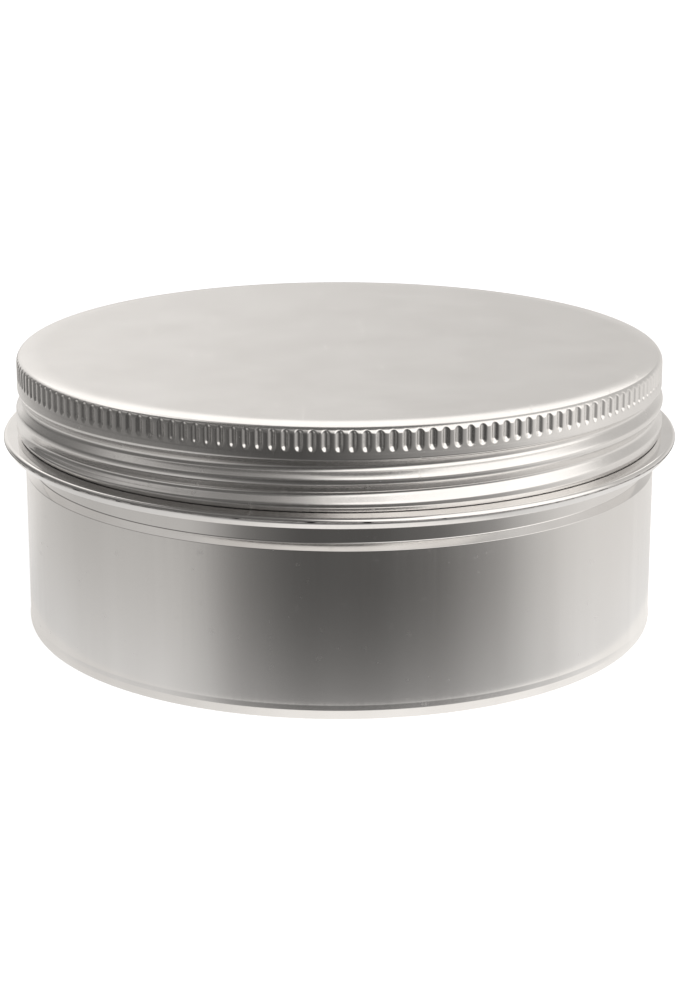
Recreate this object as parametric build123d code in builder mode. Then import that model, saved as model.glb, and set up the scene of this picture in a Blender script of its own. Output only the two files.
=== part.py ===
from build123d import *
from math import cos, pi, radians, sin, tan
import os

# Round screw tin of drawn sheet aluminium: a can with a rolled collar and a threaded neck,
# a knurled screw lid, and a foam disc that seals the lid against the can's curled rim.
# Millimetres, +Z up, origin at the centre of the foot. -Y is the side that faces the viewer.

# Can
body_diameter = 83.0
body_sheet = 0.4
wall_height = 21.65
base_corner_radius = 1.5
standing_ring_width = 0.9
base_recess = 0.6
foot_bead_stand = 0.08
foot_bead_rise = 0.65
shoulder_rise = 0.72
finger_groove_depth = 0.9
finger_groove_height = 2.63
collar_overhang = 2.75
collar_thickness = 1.55
collar_wrap = 50.0
valley_depth = 0.57
rim_curl_radius = 0.85
rim_curl_leg = 0.4

# Lid
lid_sheet = 0.33
lid_height = 10.82
lid_overhang = 1.0
side_setback = 0.2
lid_corner_radius = 0.9
crown_radius = 8.0
crown_tilt = 12.0
hem_thickness = 0.65
hem_height = 1.47
hem_lean = 0.5
hem_lean_height = 0.92
hem_roll_radius = 1.1
skirt_height = 6.72
ring_height = 0.95

# Knurl of upright flutes, pressed in round the top of the lid's side
flute_count = 168
flute_depth = 0.3
flute_width = 1.03
flute_height = 2.75

# Rolled right-hand thread: a groove round the lid's skirt and a ridge round the can's neck
thread_pitch = 3.0
thread_start_angle = 195.0
thread_start_height = 1.87
run_out_bulge = 0.03
lid_thread_turns = 1.45
lid_groove_depth = 0.6
lid_groove_radius = 1.1
neck_thread_turns = 1.2
neck_ridge_radius = 0.85

# Sealing disc in the lid, pressed thinner at its edge by the lid's crown
liner_thickness = 1.2
liner_edge_thickness = 0.75

# Fits and cutting allowance
lid_to_valley_gap = 0.3
hem_to_neck_thread_clearance = 0.08
neck_to_lid_thread_clearance = 0.35
rim_to_liner_clearance = 0.1
liner_edge_clearance = 0.3
cut_overrun = 1.0

# Radii, from the can's wall outwards
body_radius = body_diameter / 2
foot_bead_radius = body_radius + foot_bead_stand
finger_groove_radius = body_radius - finger_groove_depth
collar_radius = body_radius + collar_overhang
skirt_radius = body_radius + lid_overhang
lid_side_radius = skirt_radius - side_setback
lid_bore_radius = lid_side_radius - flute_depth - lid_sheet
hem_bore_radius = skirt_radius - hem_thickness
hem_lip_radius = skirt_radius - hem_lean
groove_root_radius = skirt_radius - lid_groove_depth
lid_thread_bore_radius = groove_root_radius - lid_sheet

# The neck takes its size from the lid that turns on it
neck_crest_radius = hem_bore_radius - hem_to_neck_thread_clearance
neck_radius = lid_thread_bore_radius - neck_to_lid_thread_clearance

# Heights from the foot
foot_bead_top = base_corner_radius + foot_bead_rise
groove_bottom = wall_height + shoulder_rise
collar_bottom = groove_bottom + finger_groove_height
collar_top = collar_bottom + collar_thickness
valley_height = collar_top - valley_depth
hem_bottom = valley_height + lid_to_valley_gap
hem_crest = hem_bottom + hem_lean_height
hem_top = hem_bottom + hem_height
ring_bottom = hem_bottom + skirt_height
ring_top = ring_bottom + ring_height
lid_top = hem_bottom + lid_height
lid_ceiling = lid_top - lid_sheet
liner_bottom = lid_ceiling - liner_thickness
rim_top = liner_bottom - rim_to_liner_clearance
rim_curl_centre = rim_top - rim_curl_radius
lid_groove_start = hem_bottom + thread_start_height
neck_ridge_start = lid_groove_start + thread_pitch / 2


def thread_coil(tool_radius, path_radius, start_height, turns):
    """A round bar bent to the thread's right-hand helix, with ball ends that let it run out."""
    rise = thread_pitch * turns
    lead = Vector(0, 2 * pi * path_radius, thread_pitch)
    with BuildPart() as coil:
        with BuildLine():
            path = Helix(pitch=thread_pitch, height=rise, radius=path_radius, center=(0, 0, start_height))
        with BuildSketch(Plane(origin=path @ 0, x_dir=(1, 0, 0), z_dir=lead)):
            Circle(tool_radius)
        sweep(path=path, is_frenet=True)
        with Locations(path @ 0, path @ 1):
            Sphere(tool_radius + run_out_bulge)
    return coil.part.rotate(Axis.Z, thread_start_angle)


# The can: one sheet from the recessed base panel, up the wall, round the collar, to the curled rim
standing_ring_outer = foot_bead_radius - base_corner_radius
standing_ring_inner = standing_ring_outer - standing_ring_width
panel_radius = standing_ring_inner - base_recess
# The collar's bead is a full round that goes on past its crown and down into a valley behind the hem
bead_radius = collar_thickness / 2
collar_edge_start = collar_radius - bead_radius
collar_middle = (collar_bottom + collar_top) / 2
wrap_angle = radians(collar_wrap)
bead_end_radius = collar_edge_start - bead_radius * sin(wrap_angle)
bead_end_height = collar_middle + bead_radius * cos(wrap_angle)
valley_edge_radius = bead_end_radius - (bead_end_height - valley_height) / tan(wrap_angle)
rim_inner_radius = neck_radius - 2 * rim_curl_radius

neck_ridge = thread_coil(
    neck_ridge_radius, neck_crest_radius - neck_ridge_radius, neck_ridge_start, neck_thread_turns
)
neck_ridge_hollow = thread_coil(
    neck_ridge_radius - body_sheet,
    neck_crest_radius - neck_ridge_radius,
    neck_ridge_start,
    neck_thread_turns,
)

with BuildPart() as neck_thread:
    add(neck_ridge)
    with Locations((0, 0, collar_top)):
        Cylinder(
            neck_radius - body_sheet / 2,
            lid_height,
            align=(Align.CENTER, Align.CENTER, Align.MIN),
            mode=Mode.SUBTRACT,
        )

with BuildPart() as tin_body:
    with BuildSketch(Plane.XZ):
        with BuildLine():
            Polyline(
                (0, base_recess),
                (panel_radius, base_recess),
                (standing_ring_inner, 0),
                (standing_ring_outer, 0),
            )
            RadiusArc(
                (standing_ring_outer, 0), (foot_bead_radius, base_corner_radius), -base_corner_radius
            )
            Polyline(
                (foot_bead_radius, base_corner_radius),
                (body_radius, foot_bead_top),
                (body_radius, wall_height),
                (finger_groove_radius, groove_bottom),
                (finger_groove_radius, collar_bottom),
                (collar_edge_start, collar_bottom),
            )
            ThreePointArc(
                (collar_edge_start, collar_bottom),
                (collar_radius, collar_middle),
                (collar_edge_start, collar_top),
            )
            RadiusArc(
                (collar_edge_start, collar_top), (bead_end_radius, bead_end_height), -bead_radius
            )
            Polyline(
                (bead_end_radius, bead_end_height),
                (valley_edge_radius, valley_height),
                (neck_radius, valley_height),
                (neck_radius, rim_curl_centre),
            )
            ThreePointArc(
                (neck_radius, rim_curl_centre),
                (neck_radius - rim_curl_radius, rim_top),
                (rim_inner_radius, rim_curl_centre),
            )
            Line((rim_inner_radius, rim_curl_centre), (rim_inner_radius, rim_curl_centre - rim_curl_leg))
            offset(amount=body_sheet, side=Side.RIGHT, kind=Kind.INTERSECTION)
        make_face()
    revolve(axis=Axis.Z)
    add(neck_thread.part)
    add(neck_ridge_hollow, mode=Mode.SUBTRACT)
tin_body.part.label = "tin_body"


# The lid: a cap with a flat top, a knurl, a plain ring, a threaded skirt and a rolled hem
crown_angle = radians(crown_tilt)
corner_middle_radius = lid_side_radius - lid_corner_radius
crown_start_radius = corner_middle_radius - (crown_radius - lid_corner_radius) * sin(crown_angle)
crown_middle_height = lid_top - crown_radius
corner_middle_height = crown_middle_height + (crown_radius - lid_corner_radius) * cos(crown_angle)
skirt_bore_radius = skirt_radius - lid_sheet
ring_bore_radius = lid_side_radius - lid_sheet
lid_thread_path_radius = groove_root_radius + lid_groove_radius
flute_tool_radius = (flute_width**2 / 4 + flute_depth**2) / (2 * flute_depth)
flute_axis_radius = lid_side_radius - flute_depth + flute_tool_radius
flute_straight = flute_height - flute_width
above_skirt = lid_height + cut_overrun
wide_radius = collar_radius + lid_groove_radius


def lid_edge(sheet, inset):
    """The edge from the side up to the flat top: a tight corner, then a wide crown that rolls it down."""
    tight = lid_corner_radius - sheet
    wide = crown_radius - sheet
    side_end = (corner_middle_radius - inset + tight, corner_middle_height)
    crown_end = (
        crown_start_radius - inset + wide * sin(crown_angle),
        crown_middle_height + wide * cos(crown_angle),
    )
    flat_end = (crown_start_radius - inset, crown_middle_height + wide)
    RadiusArc(side_end, crown_end, -tight)
    RadiusArc(crown_end, flat_end, -wide)
    Line(flat_end, (0, crown_middle_height + wide))


with BuildPart() as lid_groove:
    add(thread_coil(lid_groove_radius, lid_thread_path_radius, lid_groove_start, lid_thread_turns))
    with Locations((0, 0, ring_bottom)):
        Cylinder(
            wide_radius,
            above_skirt,
            align=(Align.CENTER, Align.CENTER, Align.MIN),
            mode=Mode.SUBTRACT,
        )

with BuildPart() as lid_inner_ridge:
    add(
        thread_coil(
            lid_groove_radius + lid_sheet, lid_thread_path_radius, lid_groove_start, lid_thread_turns
        )
    )
    with Locations((0, 0, ring_bottom + lid_sheet)):
        Cylinder(
            wide_radius,
            above_skirt,
            align=(Align.CENTER, Align.CENTER, Align.MIN),
            mode=Mode.SUBTRACT,
        )

with BuildPart() as lid_hollow:
    with BuildSketch(Plane.XZ):
        with BuildLine():
            Polyline(
                (0, lid_ceiling),
                (0, hem_bottom - cut_overrun),
                (hem_bore_radius, hem_bottom - cut_overrun),
                (hem_bore_radius, hem_top),
                (skirt_bore_radius, hem_top),
                (skirt_bore_radius, ring_bottom),
                (ring_bore_radius, ring_bottom + lid_sheet),
                (ring_bore_radius, ring_top - lid_sheet),
                (lid_bore_radius, ring_top),
                (lid_bore_radius, corner_middle_height),
            )
            lid_edge(lid_sheet, flute_depth)
        make_face()
    revolve(axis=Axis.Z)
    add(lid_inner_ridge.part, mode=Mode.SUBTRACT)

with BuildPart() as flute:
    Cylinder(flute_tool_radius, flute_straight)
    with Locations((0, 0, flute_straight / 2), (0, 0, -flute_straight / 2)):
        Sphere(flute_tool_radius)

with BuildPart() as lid_shell:
    with BuildSketch(Plane.XZ):
        with BuildLine():
            Polyline((0, lid_top), (0, hem_bottom), (hem_lip_radius, hem_bottom))
            RadiusArc((hem_lip_radius, hem_bottom), (skirt_radius, hem_crest), -hem_roll_radius)
            Polyline(
                (skirt_radius, hem_crest),
                (skirt_radius, ring_bottom),
                (lid_side_radius, ring_bottom),
                (lid_side_radius, corner_middle_height),
            )
            lid_edge(0, 0)
        make_face()
    revolve(axis=Axis.Z)
    add(lid_groove.part, mode=Mode.SUBTRACT)
    add(lid_hollow.part, mode=Mode.SUBTRACT)
    with Locations((0, 0, ring_top + flute_height / 2)):
        with PolarLocations(flute_axis_radius, flute_count):
            add(flute.part, mode=Mode.SUBTRACT)
lid_shell.part.label = "lid_shell"


# The sealing disc: closed-cell foam, laid against the lid's ceiling, over the can's rim
liner_radius = lid_bore_radius - liner_edge_clearance
liner_flat_radius = crown_start_radius - flute_depth
liner_edge_top = liner_bottom + liner_edge_thickness

with BuildPart() as lid_liner:
    with BuildSketch(Plane.XZ):
        Polygon(
            (0, liner_bottom),
            (liner_radius, liner_bottom),
            (liner_radius, liner_edge_top),
            (liner_flat_radius, lid_ceiling),
            (0, lid_ceiling),
            align=None,
        )
    revolve(axis=Axis.Z)
lid_liner.part.label = "lid_liner"


os.makedirs("parts", exist_ok=True)
for piece in (tin_body, lid_shell, lid_liner):
    export_step(piece.part, f"parts/{piece.part.label}.step")
    print(piece.part.label, round(piece.part.volume), "cubic mm")
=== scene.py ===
import math
import bmesh
import bpy
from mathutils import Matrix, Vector


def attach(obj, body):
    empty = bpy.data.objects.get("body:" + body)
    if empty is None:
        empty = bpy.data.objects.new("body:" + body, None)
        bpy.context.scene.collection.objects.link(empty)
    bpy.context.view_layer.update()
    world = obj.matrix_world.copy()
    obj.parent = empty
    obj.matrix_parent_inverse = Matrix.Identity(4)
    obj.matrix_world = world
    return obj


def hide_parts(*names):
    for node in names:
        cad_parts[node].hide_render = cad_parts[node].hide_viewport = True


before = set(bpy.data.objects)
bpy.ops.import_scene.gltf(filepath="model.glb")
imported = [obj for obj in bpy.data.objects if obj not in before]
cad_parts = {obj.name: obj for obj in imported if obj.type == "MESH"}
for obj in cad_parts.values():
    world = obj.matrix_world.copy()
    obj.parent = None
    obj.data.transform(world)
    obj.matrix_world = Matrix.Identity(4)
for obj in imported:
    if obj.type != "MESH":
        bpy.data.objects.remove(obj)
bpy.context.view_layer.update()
print("frame loaded:", ", ".join(sorted(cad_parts)))

mm = 0.001  # every length below is in millimetres
turn = 2 * math.pi


# shaping tools

def ease(x):
    x = min(max(x, 0), 1)
    return x * x * (3 - 2 * x)


def hump(x):
    # 1 at the middle, 0 from one step away
    return 0.5 + 0.5 * math.cos(math.pi * min(abs(x), 1))


def softClip(x, soft):
    # 0 up to 1 in a straight line, with both bends rounded
    def bend(y):
        return y if y > soft else max(y + soft, 0) ** 2 / (4 * soft)
    return bend(x) - bend(x - 1)


def around(count):
    return [turn * i / count for i in range(count)]


def evenly(first, last, steps):
    return [first + (last - first) * i / steps for i in range(steps + 1)]


def arc(middle, radius, fromTilt, toTilt, steps):
    # tilt is counted in degrees from straight up, outwards
    points = []
    for degrees in evenly(fromTilt, toTilt, steps):
        tilt = math.radians(degrees)
        points.append((middle[0] + radius * math.sin(tilt), middle[1] + radius * math.cos(tilt)))
    return points


def roundPath(corners, steps=8, hug=0.04):
    # corners are (radius, height, rounding); rows beside each round keep the flats flat
    path = [Vector(corners[0][:2])]
    for before, here, after in zip(corners, corners[1:], corners[2:]):
        corner = Vector(here[:2])
        toBefore = (Vector(before[:2]) - corner).normalized()
        toAfter = (Vector(after[:2]) - corner).normalized()
        if not here[2]:
            path.append(corner)
            continue
        half = math.acos(max(-1, min(1, toBefore.dot(toAfter)))) / 2
        reach = here[2] / math.tan(half)
        middle = corner + (toBefore + toAfter).normalized() * here[2] / math.sin(half)
        start = corner + toBefore * reach - middle
        end = corner + toAfter * reach - middle
        first = math.atan2(start.y, start.x)
        swing = (math.atan2(end.y, end.x) - first + math.pi) % turn - math.pi
        path.append(corner + toBefore * (reach + hug))
        for angle in evenly(first, first + swing, steps):
            path.append(middle + Vector((math.cos(angle), math.sin(angle))) * here[2])
        path.append(corner + toAfter * (reach + hug))
    path.append(Vector(corners[-1][:2]))
    return [tuple(p) for p in path]


def stitch(mesh, upper, lower):
    # joins two rings; one may have a whole number of times as many points as the other
    if len(lower) < len(upper):
        upper, lower = lower, upper
    many, few = len(lower), len(upper)
    if few == 1:
        for i in range(many):
            mesh.faces.new((upper[0], lower[i], lower[(i + 1) % many]))
        return
    each = many // few
    for i in range(few):
        here, there = upper[i], upper[(i + 1) % few]
        fan = [lower[(i * each + k) % many] for k in range(each + 1)]
        if each == 1:
            mesh.faces.new((here, fan[0], fan[1], there))
            continue
        middle = each // 2
        for k in range(each):
            mesh.faces.new((here if k < middle else there, fan[k], fan[k + 1]))
        mesh.faces.new((here, fan[middle], there))


def putInScene(name, mesh):
    piece = bpy.data.objects.new(name, mesh)
    bpy.context.scene.collection.objects.link(piece)
    return piece


def spin(name, rows, angles, radiusAt):
    # rows are (radius, height, zone); zone picks the angles and the relief
    work = bmesh.new()
    rings = []
    for radius, height, zone in rows:
        if radius == 0:
            rings.append([work.verts.new((0, 0, height * mm))])
            continue
        ring = []
        for angle in angles.get(zone, angles["plain"]):
            r = radiusAt(zone, angle, radius, height) * mm
            ring.append(work.verts.new((r * math.cos(angle), r * math.sin(angle), height * mm)))
        rings.append(ring)
    for upper, lower in zip(rings, rings[1:]):
        stitch(work, upper, lower)
    bmesh.ops.recalc_face_normals(work, faces=work.faces)
    for face in work.faces:
        face.smooth = True
    mesh = bpy.data.meshes.new(name)
    work.to_mesh(mesh)
    work.free()
    print("made", name, "with", len(mesh.vertices), "points")
    return putInScene(name, mesh)


# rolled thread: a right-hand helix that the lid's groove and the neck's ridge share

thread = {
    "pitch": 3.0,
    "startAngle": 195.0,
    "lidStart": 28.15,  # height of the groove's middle where it starts
    "lidTurns": 1.5,
    "lidDepth": 0.78,
    "lidFloor": 0.18,  # from the groove's middle to the foot of its flanks
    "lidUpper": 1.34,  # and to the outer end of the upper flank
    "lidLower": 1.08,  # and to the outer end of the lower flank
    "lidSoftness": 0.17,
    "neckTurns": 1.2,
    "neckStand": 0.52,
    "neckHalfWidth": 0.8,
    "runOut": 0.06,  # share of a turn over which a thread fades
}


def threadTurns(angle):
    # turns since the start, and the same again one turn on
    first = ((angle - math.radians(thread["startAngle"])) % turn) / turn
    return first, first + 1


def fade(turns, length):
    return ease(turns / thread["runOut"]) * ease((length - turns) / thread["runOut"])


def lidGroove(angle, height):
    deep = 0
    for turns in threadTurns(angle):
        middle = thread["lidStart"] + thread["pitch"] * turns
        crest = thread["lidUpper"] if height > middle else thread["lidLower"]
        away = (abs(height - middle) - thread["lidFloor"]) / (crest - thread["lidFloor"])
        deep += fade(turns, thread["lidTurns"]) * (1 - softClip(away, thread["lidSoftness"]))
    return thread["lidDepth"] * deep


def neckRidge(angle, height):
    stand = 0
    for turns in threadTurns(angle):
        middle = thread["lidStart"] + thread["pitch"] * (turns + 0.5)
        stand += fade(turns, thread["neckTurns"]) * hump((height - middle) / thread["neckHalfWidth"])
    return thread["neckStand"] * stand


# lid

lid = {
    "top": 37.1,
    "sheet": 0.33,
    "sideRadius": 42.3,
    "skirtRadius": 42.5,
    "bottom": 26.28,
    "ringTop": 33.95,  # the plain ring under the flutes
    "ringBottom": 33.0,
    "widenFrom": 32.4,  # between these heights the side widens to the skirt
    "widenTo": 31.0,
    "cornerRadius": 0.9,
    "crownRadius": 12.0,
    "crownTilt": 12.0,
    "hemThickness": 0.68,
    "hemHeight": 1.47,
    "hemCrest": 27.25,  # below it the hem leans in
    "hemLean": 0.6,
    "flutes": 168,
    "fluteDepth": 0.3,
    "fluteHalfWidth": 0.57,
    "fluteFlat": 0.08,
    "fluteHeight": 2.95,
    "fluteRound": 0.86,  # share of the half width that a round end takes up
    "fluteEnd": 0.7,  # under 1 the ends run out longer than they are wide
    "fluteSoftness": 0.03,
    "fluteClear": 0.1,  # the softness reaches this far out from a flute's edge
    "grooveTop": (33.1, 0.35),  # where the rolled thread fades out: height and length
    "grooveFoot": (27.0, 0.4),
    "topFrom": 36.0,  # above this height, and flatter than this tilt, the finish is the top's
    "topTilt": 20,
    "columns": 336,
    # where the rows of points stand across one flute, as shares of the way to the next
    "fluteShares": (-0.38, -0.3, -0.225, -0.15, -0.075, 0, 0.075, 0.15, 0.225, 0.3, 0.38, 0.5),
    "topRadii": (0, 8, 16, 24, 32),
    # down the flutes, closer together at their lower ends
    "fluteHeights": (35.95, 35.7, 35.3, 34.9, 34.6, 34.5, 34.42, 34.34, 34.26, 34.18, 34.1, 34.02),
    "threadSteps": 90,
    "boreSteps": 49,
}


def fluteDepth(angle, height):
    pitch = turn / lid["flutes"]
    away = abs((angle + pitch / 2) % pitch - pitch / 2) * lid["sideRadius"]
    middle = lid["ringTop"] + lid["fluteHeight"] / 2
    half = lid["fluteHeight"] / 2 - lid["fluteHalfWidth"] * lid["fluteRound"] / lid["fluteEnd"]
    past = max(abs(height - middle) - half, 0) * lid["fluteEnd"]
    reach = math.hypot(away, past)
    wall = lid["fluteHalfWidth"] - lid["fluteFlat"]
    return lid["fluteDepth"] * ease((lid["fluteHalfWidth"] - reach) / wall)


def lidRadius(zone, angle, radius, height):
    if zone == "knurl":
        cut = fluteDepth(angle, height) - (lid["sideRadius"] - radius)
        if cut > -lid["fluteClear"]:
            return radius - 0.5 * (cut + math.hypot(cut, lid["fluteSoftness"]))
    if zone == "thread":
        (top, topFade), (foot, footFade) = lid["grooveTop"], lid["grooveFoot"]
        clear = ease((top - height) / topFade) * ease((height - foot) / footFade)
        return radius - lidGroove(angle, height) * clear
    return radius


def skirtAt(height):
    spread = ease((lid["widenFrom"] - height) / (lid["widenFrom"] - lid["widenTo"]))
    return lid["sideRadius"] + (lid["skirtRadius"] - lid["sideRadius"]) * spread


def lidEdge(sheet, inset):
    # the rolled edge, from the flat top out to the side
    tilt = math.radians(lid["crownTilt"])
    cornerMiddle = lid["sideRadius"] - lid["cornerRadius"]
    lean = lid["crownRadius"] - lid["cornerRadius"]
    crownCentre = (cornerMiddle - lean * math.sin(tilt) - inset, lid["top"] - lid["crownRadius"])
    cornerCentre = (cornerMiddle - inset, crownCentre[1] + lean * math.cos(tilt))
    wide = arc(crownCentre, lid["crownRadius"] - sheet, 0, lid["crownTilt"], 6)
    tight = arc(cornerCentre, lid["cornerRadius"] - sheet, lid["crownTilt"], 90, 12)
    return wide, tight[1:]


def lidRows():
    # once round the sheet: over the top, down outside, round the hem and back up inside
    wide, tight = lidEdge(0, 0)
    innerWide, innerTight = lidEdge(lid["sheet"], lid["fluteDepth"])
    side, skirt, sheet, low = lid["sideRadius"], lid["skirtRadius"], lid["sheet"], lid["ringTop"]
    flat = wide[0][0]
    rows = [(r, lid["top"], "plain") for r in (*lid["topRadii"], flat - 1, flat - 0.2)]
    rows += [(r, z, "knurl") for r, z in wide + tight]
    heights = (*lid["fluteHeights"], low, low - 0.08, low - 0.2)
    rows += [(skirtAt(z), z, "knurl") for z in heights]
    last = lid["hemCrest"] + 0.2
    rows += [(skirtAt(z), z, "thread") for z in evenly(low - 0.3, last, lid["threadSteps"])]
    bore, skirtBore = skirt - lid["hemThickness"], skirt - sheet
    hemTop = lid["bottom"] + lid["hemHeight"]
    hem = [
        (skirt, last, 0),
        (skirt, lid["hemCrest"], 0.3),
        (skirt - lid["hemLean"], lid["bottom"], 0.04),
        (bore, lid["bottom"], 0.03),
        (bore, hemTop, 0.12),
        (skirtBore, hemTop, 0.1),
        (skirtBore, lid["ringBottom"], 0),
    ]
    rows += [(r, z, "plain") for r, z in roundPath(hem, 6, 0.02)[1:-1]]
    heights = evenly(hemTop + 0.2, lid["ringBottom"], lid["boreSteps"])
    rows += [(skirtBore, z, "thread") for z in heights]
    ringBore, inner = side - sheet, side - lid["fluteDepth"] - sheet
    step = [
        (skirtBore, lid["ringBottom"], 0),
        (ringBore, lid["ringBottom"] + sheet, 0.1),
        (ringBore, low - sheet, 0.1),
        (inner, low, 0.1),
        (inner, innerTight[-1][1], 0),
    ]
    rows += [(r, z, "plain") for r, z in roundPath(step, 4)[1:-1]]
    rows += [(r, z, "plain") for r, z in reversed(innerWide + innerTight)]
    rows.append((0, lid["top"] - sheet, "plain"))
    return rows


def lidAngles():
    pitch = turn / lid["flutes"]
    fine = [(i + share) * pitch for i in range(lid["flutes"]) for share in lid["fluteShares"]]
    each = len(fine) // lid["columns"]
    return {"knurl": fine, "plain": fine[each - 1::each], "thread": fine[each - 1::each]}


# can

can = {
    "wallRadius": 41.5,
    "sheet": 0.4,
    "footRounding": 1.5,
    "panelHeight": 0.6,  # the base panel stands this much off the table
    "panelRadius": 38.55,
    "standingInner": 39.15,
    "footRadius": 41.58,
    "footLine": 1.6,
    "footLineTop": 2.2,
    "wallTop": 21.65,
    "shoulderRise": 0.72,
    "grooveRadius": 40.6,
    "collarBottom": 25.0,
    "collarTop": 26.55,
    "collarFall": 0.08,  # the bead's top falls this much towards its outer side
    "collarRadius": 44.25,
    "collarInner": 42.14,  # where the bead's crown turns down behind the lid's hem
    "collarSlope": 0.02,
    "valleyHeight": 26.12,
    "beadFlank": (0.62, 0.885),  # the bead's lower flank: inwards and down
    "beadRound": 0.5,
    "neckRadius": 41.22,
    "rimTop": 35.47,
    "rimCurl": 0.85,
    "rimLeg": 0.4,
    "rolledMargin": 0.1,  # the rolled finish goes this far past the groove and the bead
    "columns": 336,
    "panelRadii": (0, 10, 20, 30, 37),
    "neckSteps": 60,
}


def canRadius(zone, angle, radius, height):
    return radius + neckRidge(angle, height) if zone == "neck" else radius


def canPath(inset):
    # one face of the sheet from the base panel up to the collar: inset 0 is outside, the sheet inside
    wall, neck = can["wallRadius"] - inset, can["neckRadius"] - inset
    foot, groove = can["footRadius"] - inset, can["grooveRadius"] - inset
    flankIn, flankDown = can["beadFlank"]
    reach, low, high = can["collarRadius"] - inset, can["collarBottom"] + inset, can["collarTop"] - inset
    shoulder = can["wallTop"] + can["shoulderRise"]
    slack = 0.5 * inset
    return roundPath([
        (can["panelRadius"] - slack, can["panelHeight"] + inset, 0),
        (can["standingInner"] - slack, inset, 0.3),
        (foot, inset, can["footRounding"] - inset),
        (foot, can["footLine"], 0.3),
        (wall, can["footLineTop"], 1.0),
        (wall, can["wallTop"], 0.08 + slack),
        (groove, shoulder, 0.2 - slack / 2),
        (groove, low, 0.35),
        (reach - flankIn - slack / 2, low, 0.3),
        (reach, can["collarBottom"] + flankDown, 0.5 - inset),
        (reach, high - can["collarFall"], can["beadRound"] - inset),
        (can["collarInner"] - slack / 2, high, 0.08),
        (can["collarInner"] - can["collarSlope"] - slack, can["valleyHeight"] - inset, 0.08),
        (neck, can["valleyHeight"] - inset, 0.15),
        (neck, can["collarTop"] + 0.5, 0),
    ])


def canRows():
    # up the outside, over the curled rim and down the inside
    curl, sheet, steps = can["rimCurl"], can["sheet"], can["neckSteps"]
    neck, inner = can["neckRadius"], can["neckRadius"] - can["sheet"]
    curlHeight = can["rimTop"] - curl
    curlMiddle = (neck - curl, curlHeight)
    neckStart = can["collarTop"] + 0.6
    rows = [(r, can["panelHeight"], "plain") for r in can["panelRadii"]]
    rows += [(r, z, "plain") for r, z in canPath(0)]
    rows += [(neck, z, "neck") for z in evenly(neckStart, curlHeight, steps)[1:]]
    rows += [(r, z, "plain") for r, z in arc(curlMiddle, curl, 90, -90, 16)[1:]]
    leg = curlHeight - can["rimLeg"]
    rows += [(neck - 2 * curl, leg, "plain"), (neck - 2 * curl + sheet, leg, "plain")]
    rows += [(r, z, "plain") for r, z in arc(curlMiddle, curl - sheet, -90, 90, 12)]
    rows += [(inner, z, "neck") for z in evenly(curlHeight, neckStart, steps)[1:]]
    rows += [(r, z, "plain") for r, z in reversed(canPath(sheet)[:-1])]
    rows += [(r, can["panelHeight"] + sheet, "plain") for r in reversed(can["panelRadii"])]
    return rows


# sealing disc

disc = {
    "radius": 41.37,
    "bottom": 35.57,
    "top": 36.77,
    "edgeTop": 36.32,
    "flatRadius": 38.9,
    "pressed": (41.1, 39.7),  # the band that the can's rim has pressed, outside and inside
    "printRadius": 40.37,
    "printDepth": 0.08,
    "printWidth": 0.55,
    "columns": 336,
    "underRadii": (39, 30, 20, 10, 0),
}


def discPrint(radius):
    return disc["printDepth"] * hump((radius - disc["printRadius"]) / disc["printWidth"])


def discRows():
    edge = [
        (30, disc["top"], 0),
        (disc["flatRadius"], disc["top"], 0.3),
        (disc["radius"], disc["edgeTop"], 0.15),
        (disc["radius"], disc["bottom"], 0.15),
        (30, disc["bottom"], 0),
    ]
    rows = [(0, disc["top"], "plain")]
    rows += [(r, z, "plain") for r, z in roundPath(edge, 5)[:-1]]
    rows += [(r, disc["bottom"] + discPrint(r), "plain") for r in evenly(*disc["pressed"], 14)]
    rows += [(r, disc["bottom"], "plain") for r in disc["underRadii"]]
    return rows


def discRadius(zone, angle, radius, height):
    return radius


# materials

def node(tree, kind, **values):
    made = tree.nodes.new(kind)
    for name, value in values.items():
        setattr(made, name, value)
    return made


def join(tree, source, target, output=0, name=0):
    tree.links.new(source.outputs[output], target.inputs[name])


def calc(tree, operation, *terms):
    # a term is a number, or a node with the output that it gives
    made = node(tree, "ShaderNodeMath", operation=operation)
    for count, term in enumerate(terms):
        if isinstance(term, tuple):
            join(tree, term[0], made, term[1], count)
        else:
            made.inputs[count].default_value = term
    return made


def newMaterial(name):
    material = bpy.data.materials.new(name)
    material.use_nodes = True
    tree = material.node_tree
    return material, tree, tree.nodes["Principled BSDF"]


def stretched(tree, scale):
    place = node(tree, "ShaderNodeTexCoord")
    scaled = node(tree, "ShaderNodeMapping")
    scaled.inputs["Scale"].default_value = scale
    join(tree, place, scaled, "Object", "Vector")
    return scaled


def noise(tree, scale, detail=3.0):
    made = node(tree, "ShaderNodeTexNoise")
    made.inputs["Scale"].default_value = 1.0
    made.inputs["Detail"].default_value = detail
    join(tree, stretched(tree, scale), made, "Vector", "Vector")
    return made


def between(tree, source, low, high, fromLow=0.3, fromHigh=0.7, output=0):
    made = node(tree, "ShaderNodeMapRange")
    made.inputs["From Min"].default_value = fromLow
    made.inputs["From Max"].default_value = fromHigh
    made.inputs["To Min"].default_value = low
    made.inputs["To Max"].default_value = high
    join(tree, source, made, output, "Value")
    return made


def fadeIn(tree, source, start, end):
    made = node(tree, "ShaderNodeMapRange", interpolation_type="SMOOTHSTEP")
    made.inputs["From Min"].default_value = start
    made.inputs["From Max"].default_value = end
    join(tree, source, made, "Value", "Value")
    return made


def bumped(tree, shader, height, strength, distance):
    bump = node(tree, "ShaderNodeBump")
    bump.inputs["Strength"].default_value = strength
    bump.inputs["Distance"].default_value = distance * mm
    join(tree, height, bump, 0, "Height")
    join(tree, bump, shader, 0, "Normal")


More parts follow.
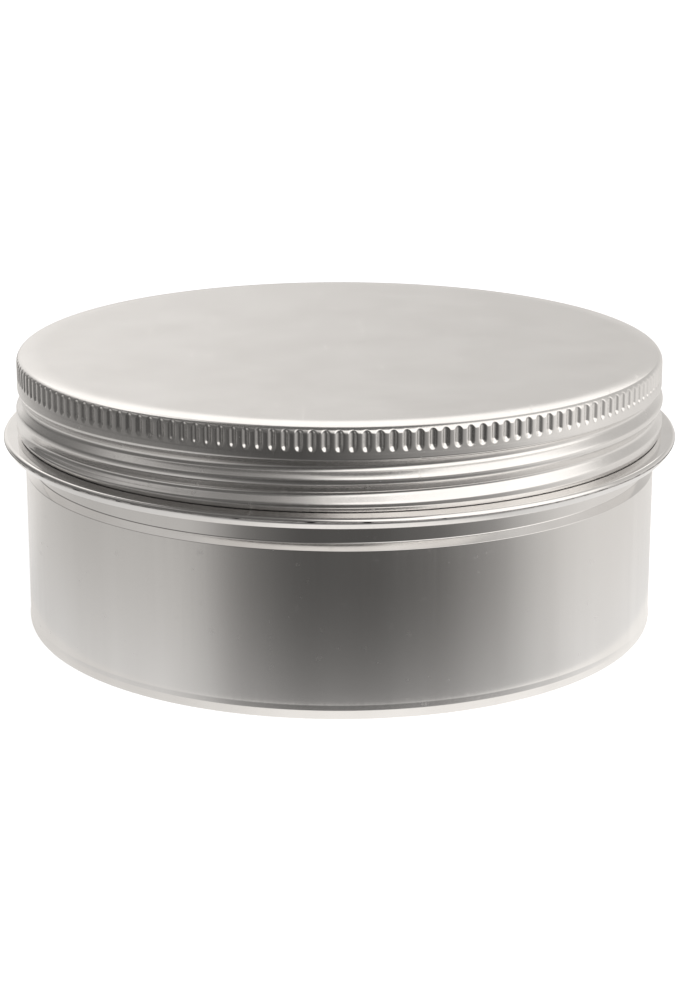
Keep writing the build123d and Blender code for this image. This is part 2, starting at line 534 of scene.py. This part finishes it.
satin = {
    "dark": (0.80, 0.787, 0.775, 1),
    "pale": (0.87, 0.86, 0.85, 1),
    "wallRoughness": (0.17, 0.22),
    "topRoughness": (0.17, 0.21),
    "rolledRoughness": (0.09, 0.12),
    "stretch": 0.55,
    "drawMarks": (2600, 2600, 60),  # per metre: fine marks that run up the wall
    "streaks": (110, 110, 6),
    "scratches": (900, 90, 900),
    "scratchShare": (0.66, 0.7),
    "scratchDepth": 0.07,  # how much rougher a scratch is
    "grain": (9000, 9000, 9000),
    "markBump": 0.05,
    "markHeight": 0.01,
}


def satinMetal(name, roughness, stretch, marks):
    material, tree, shader = newMaterial(name)
    shader.inputs["Metallic"].default_value = 1.0
    tone = node(tree, "ShaderNodeMix", data_type="RGBA")
    tone.inputs["A"].default_value = satin["dark"]
    tone.inputs["B"].default_value = satin["pale"]
    cloud = between(tree, noise(tree, satin["streaks"]), 0.15, 1.0)
    join(tree, cloud, tone, 0, "Factor")
    join(tree, tone, shader, 2, "Base Color")
    fine = noise(tree, marks, 4.0)
    scratches = noise(tree, satin["scratches"], 5.0)
    scratched = between(tree, scratches, 0, satin["scratchDepth"], *satin["scratchShare"])
    rough = calc(tree, "ADD", (between(tree, fine, *roughness), 0), (scratched, 0))
    join(tree, rough, shader, 0, "Roughness")
    if stretch:
        shader.inputs["Anisotropic"].default_value = stretch
        tangent = node(tree, "ShaderNodeTangent", direction_type="RADIAL", axis="Z")
        join(tree, tangent, shader, 0, "Tangent")
    bumped(tree, shader, fine, satin["markBump"], satin["markHeight"])
    return material


foam = {
    "colour": (0.86, 0.86, 0.84, 1),
    "shade": (0.78, 0.78, 0.75, 1),
    "clouds": (300, 300, 300),
    "cell": (3500, 3500, 3500),
    "roughness": 0.65,
    "cellBump": 0.4,
    "cellHeight": 0.05,
}


def foamSheet(name):
    material, tree, shader = newMaterial(name)
    cells = node(tree, "ShaderNodeTexVoronoi")
    cells.inputs["Scale"].default_value = 1.0
    join(tree, stretched(tree, foam["cell"]), cells, "Vector", "Vector")
    tone = node(tree, "ShaderNodeMix", data_type="RGBA")
    tone.inputs["A"].default_value = foam["shade"]
    tone.inputs["B"].default_value = foam["colour"]
    join(tree, between(tree, noise(tree, foam["clouds"]), 0.0, 1.0), tone, 0, "Factor")
    join(tree, tone, shader, 2, "Base Color")
    shader.inputs["Roughness"].default_value = foam["roughness"]
    bumped(tree, shader, cells, foam["cellBump"], foam["cellHeight"])
    return material


wallMetal = satinMetal("satinWall", satin["wallRoughness"], satin["stretch"], satin["drawMarks"])
topMetal = satinMetal("satinTop", satin["topRoughness"], 0, satin["grain"])
rolledMetal = satinMetal("rolledCollar", satin["rolledRoughness"], satin["stretch"], satin["drawMarks"])
foamMaterial = foamSheet("closedCellFoam")
print("materials ready")


# pieces on their bodies

def isLidTop(polygon):
    flatEnough = polygon.normal.z > math.cos(math.radians(lid["topTilt"]))
    return flatEnough and polygon.center.z > lid["topFrom"] * mm


def isRolled(polygon):
    margin, height = can["rolledMargin"], polygon.center.z / mm
    return can["wallTop"] - margin < height < can["collarTop"] + margin


def dress(piece, metal, otherMetal, takesOther):
    piece.data.materials.append(metal)
    piece.data.materials.append(otherMetal)
    for polygon in piece.data.polygons:
        polygon.material_index = int(takesOther(polygon))


lidPiece = spin("lid", lidRows(), lidAngles(), lidRadius)
dress(lidPiece, wallMetal, topMetal, isLidTop)
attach(lidPiece, "lid")
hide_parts("lid_shell")

canPiece = spin("can", canRows(), {"plain": around(can["columns"])}, canRadius)
dress(canPiece, wallMetal, rolledMetal, isRolled)
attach(canPiece, "can")
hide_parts("tin_body")

discPiece = spin("sealingDisc", discRows(), {"plain": around(disc["columns"])}, discRadius)
discPiece.data.materials.append(foamMaterial)
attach(discPiece, "liner")
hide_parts("lid_liner")
print("pieces ride on their bodies")


# studio: a pale floor, a soft sky of broad lights, and a glowing card of painted reflection that only
# the metal sees, dark in front

studio = {
    "floorSize": 6.0,  # in metres
    "floorColour": (0.5, 0.5, 0.5, 1),
    "floorGlow": 0.84,
    "horizon": 0.80,
    "sky": 0.578,
    "skyFrom": 0.3,  # sine of the elevation at which the backdrop is dimmest
    "warmth": (1, 0.97, 0.935),
    # bearing and elevation in degrees, inner and outer radius in degrees, level
    # bearing 0 is the front
    "lights": [
        ("rear left window", -150, 12, 12, 34, 0.93),
        ("dark left", -112, 2, 24, 42, 0.17),
        ("dark left front", -66, 6, 30, 46, 0.15),
        ("dark above front", -30, 28, 26, 42, 0.13),
        ("dark front", 0, -4, 16, 36, 0.10),
        ("key", 54, 38, 36, 52, 1.3),
        ("dark overhead", -130, 72, 28, 33, 0.14),
        ("dark above", 20, 80, 12, 16, 0.14),
        ("rear left panel", -142, 48, 9, 14, 1.3),
        ("rear panel", 180, 32.5, 10, 12.5, 1.3),
        ("rear panel's right", 164, 32.5, 10, 12.5, 1.3),
        ("rear panel's left", -164, 32.5, 10, 12.5, 1.3),
    ],
}

# the card's levels are painted reflection: dark surroundings in front, the lit floor paler towards the
# tin, and painted contact shade beside the foot
card = {
    "height": 0.3,
    "inner": 38.0,
    "outer": 3000.0,
    "columns": 96,
    "middle": -20.0,  # the bearings below are counted round this point in front of the tin's middle
    "start": (45.7, 46.5),  # the foot's levels give way to the near ones
    "far": (118.0, 150.0),  # and these to the far ones
    "paler": (45.0, 100.0, 1.5, 0.45),  # paler towards the tin: from, to, bend, amount
    # bearing in degrees round the tin, level
    # painted contact shadow: the floor beside the foot as the metal sees it, greyer towards the left
    # front
    "footLevels": [
        (-180, 0.95), (-125, 0.82), (-60, 0.76), (-35, 0.86), (-15, 0.97), (40, 1.0), (180, 1.0),
    ],
    "nearLevels": [
        (-180, 0.22), (-166, 0.4), (-153, 0.82), (-135, 0.87), (-122, 0.66), (-105, 0.55), (-67, 0.54),
        (-52, 0.50), (-37, 0.25), (-20, 0.115), (0, 0.091), (20, 0.105), (41, 0.19), (60, 0.37),
        (76, 0.62), (95, 0.76), (126, 0.81), (153, 0.84), (166, 0.4), (180, 0.22),
    ],
    "farLevels": [
        (-180, 0.3), (-166, 0.76), (-147, 0.74), (-128, 0.45), (-108, 0.26), (-85, 0.19), (-62, 0.16),
        (-25, 0.08), (0, 0.11), (29, 0.30), (54, 0.50), (78, 0.84), (108, 0.84), (147, 0.74),
        (166, 0.76), (180, 0.3),
    ],
}


def directionOf(bearing, elevation):
    b, e = math.radians(bearing), math.radians(elevation)
    return math.sin(b) * math.cos(e), -math.cos(b) * math.cos(e), math.sin(e)


def level(value):
    return (*(value * share for share in studio["warmth"]), 1)


def makeSky():
    world = bpy.data.worlds.new("studioSky")
    world.use_nodes = True
    tree = world.node_tree
    background = tree.nodes["Background"]
    place = node(tree, "ShaderNodeTexCoord")
    parts = node(tree, "ShaderNodeSeparateXYZ")
    join(tree, place, parts, "Generated", 0)
    climb = node(tree, "ShaderNodeMapRange")
    climb.inputs["From Max"].default_value = studio["skyFrom"]
    join(tree, parts, climb, "Z", "Value")
    sky = node(tree, "ShaderNodeMix", data_type="RGBA")
    sky.inputs["A"].default_value = level(studio["horizon"])
    sky.inputs["B"].default_value = level(studio["sky"])
    join(tree, climb, sky, 0, "Factor")
    for name, bearing, elevation, inner, outer, strength in studio["lights"]:
        facing = node(tree, "ShaderNodeVectorMath", operation="DOT_PRODUCT", label=name)
        facing.inputs[1].default_value = directionOf(bearing, elevation)
        join(tree, place, facing, "Generated", 0)
        edge = fadeIn(tree, facing, math.cos(math.radians(outer)), math.cos(math.radians(inner)))
        lit = node(tree, "ShaderNodeMix", data_type="RGBA")
        lit.inputs["B"].default_value = level(strength)
        join(tree, edge, lit, 0, "Factor")
        join(tree, sky, lit, 2, "A")
        sky = lit
    rays = node(tree, "ShaderNodeLightPath")
    backdrop = node(tree, "ShaderNodeMix", data_type="RGBA")
    backdrop.inputs["B"].default_value = (1, 1, 1, 1)  # the camera sees white past the floor's edge
    join(tree, rays, backdrop, "Is Camera Ray", "Factor")
    join(tree, sky, backdrop, 2, "A")
    join(tree, backdrop, background, 2, "Color")
    bpy.context.scene.world = world


def makeFloor():
    half = studio["floorSize"] / 2
    mesh = bpy.data.meshes.new("floor")
    corners = [(-half, -half, 0), (half, -half, 0), (half, half, 0), (-half, half, 0)]
    mesh.from_pydata(corners, [], [(0, 1, 2, 3)])
    floor = putInScene("floor", mesh)
    material, tree, shader = newMaterial("paleFloor")
    tree.nodes.remove(shader)
    paint = node(tree, "ShaderNodeBsdfDiffuse")
    paint.inputs["Color"].default_value = studio["floorColour"]
    glow = node(tree, "ShaderNodeEmission")
    glow.inputs["Color"].default_value = (1, 1, 1, 1)
    rays = node(tree, "ShaderNodeLightPath")  # the glow is for the camera, reflections and glass alone
    seen = calc(tree, "MAXIMUM", (rays, "Is Camera Ray"), (rays, "Is Glossy Ray"))
    seen = calc(tree, "MAXIMUM", (seen, 0), (rays, "Is Transmission Ray"))
    join(tree, calc(tree, "MULTIPLY", (seen, 0), studio["floorGlow"]), glow, 0, "Strength")
    both = node(tree, "ShaderNodeAddShader")
    join(tree, paint, both, 0, 0)
    join(tree, glow, both, 0, 1)
    join(tree, both, tree.nodes["Material Output"], 0, "Surface")
    mesh.materials.append(material)


def bearingRamp(tree, share, levels):
    ramp = node(tree, "ShaderNodeValToRGB")
    ramp.color_ramp.interpolation = "CARDINAL"
    stops = ramp.color_ramp.elements
    for count, (degrees, value) in enumerate(levels):
        stop = stops[count] if count < 2 else stops.new(1.0)
        stop.position = (degrees + 180) / 360
        stop.color = level(value)
    join(tree, share, ramp, 0, "Fac")
    return ramp


def blended(tree, share, first, second):
    made = node(tree, "ShaderNodeMix", data_type="RGBA")
    join(tree, share, made, 0, "Factor")
    join(tree, first, made, 0, "A")
    join(tree, second, made, 0, "B")
    return made


# the card's colour is painted reflection, set by bearing and by distance round the tin
def cardColour(tree):
    place = node(tree, "ShaderNodeTexCoord")
    shift = node(tree, "ShaderNodeVectorMath", operation="MULTIPLY_ADD")
    shift.inputs[1].default_value = (1, 1, 0)
    shift.inputs[2].default_value = (0, -card["middle"] * mm, 0)
    join(tree, place, shift, "Object", 0)
    parts = node(tree, "ShaderNodeSeparateXYZ")
    join(tree, shift, parts, 0, 0)
    towards = calc(tree, "MULTIPLY", (parts, "Y"), -1.0)
    bearing = calc(tree, "ARCTAN2", (parts, "X"), (towards, 0))
    share = between(tree, bearing, 0, 1, -math.pi, math.pi)
    reach = node(tree, "ShaderNodeVectorMath", operation="LENGTH")
    join(tree, place, reach, "Object", 0)
    foot = bearingRamp(tree, share, card["footLevels"])
    near = bearingRamp(tree, share, card["nearLevels"])
    far = bearingRamp(tree, share, card["farLevels"])
    tone = blended(tree, fadeIn(tree, reach, *(r * mm for r in card["far"])), near, far)
    inner, outer, bend, amount = card["paler"]
    nearness = between(tree, reach, 1, 0, inner * mm, outer * mm, "Value")
    bent = calc(tree, "POWER", (nearness, 0), bend)
    paler = node(tree, "ShaderNodeGamma")
    join(tree, tone, paler, 2, "Color")
    join(tree, calc(tree, "MULTIPLY_ADD", (bent, 0), -amount, 1.0), paler, 0, "Gamma")
    return blended(tree, fadeIn(tree, reach, *(r * mm for r in card["start"])), foot, paler)


def makeCard():
    # a ring-shaped glowing card just over the floor that only reflections see: painted reflection of the
    # surroundings, dark in front, with painted shade of the floor beside the foot
    work = bmesh.new()
    rings = []
    for radius in (card["inner"] * mm, card["outer"] * mm):
        ring = []
        for angle in around(card["columns"]):
            x, y = radius * math.cos(angle), radius * math.sin(angle)
            ring.append(work.verts.new((x, y, card["height"] * mm)))
        rings.append(ring)
    stitch(work, *rings)
    mesh = bpy.data.meshes.new("paintedReflectionCard")
    work.to_mesh(mesh)
    work.free()
    sheet = putInScene("paintedReflectionCard", mesh)
    for kind in ("camera", "diffuse", "transmission", "volume_scatter", "shadow"):
        setattr(sheet, "visible_" + kind, False)
    material, tree, shader = newMaterial("paintedReflectionCard")
    tree.nodes.remove(shader)
    glow = node(tree, "ShaderNodeEmission")
    join(tree, cardColour(tree), glow, 2, "Color")
    join(tree, glow, tree.nodes["Material Output"], 0, "Surface")
    mesh.materials.append(material)


makeSky()
makeFloor()
makeCard()
print("studio lit")


# camera at the photograph's angle

camera = {
    "target": (0.08, 0.0, 15.70),
    "distance": 344.69,
    "elevation": 16.48,
    "lens": 92.59,
}

shot = bpy.data.cameras.new("camera")
shot.lens = camera["lens"]
shot.clip_start = 0.01
shot.clip_end = 20
viewer = putInScene("camera", shot)
climb = math.radians(camera["elevation"])
viewer.location = (
    camera["target"][0] * mm,
    -camera["distance"] * math.cos(climb) * mm,
    (camera["target"][2] + camera["distance"] * math.sin(climb)) * mm,
)
viewer.rotation_euler = (math.pi / 2 - climb, 0, 0)
bpy.context.scene.camera = viewer
bpy.context.scene.view_settings.view_transform = "Standard"
print("camera placed")
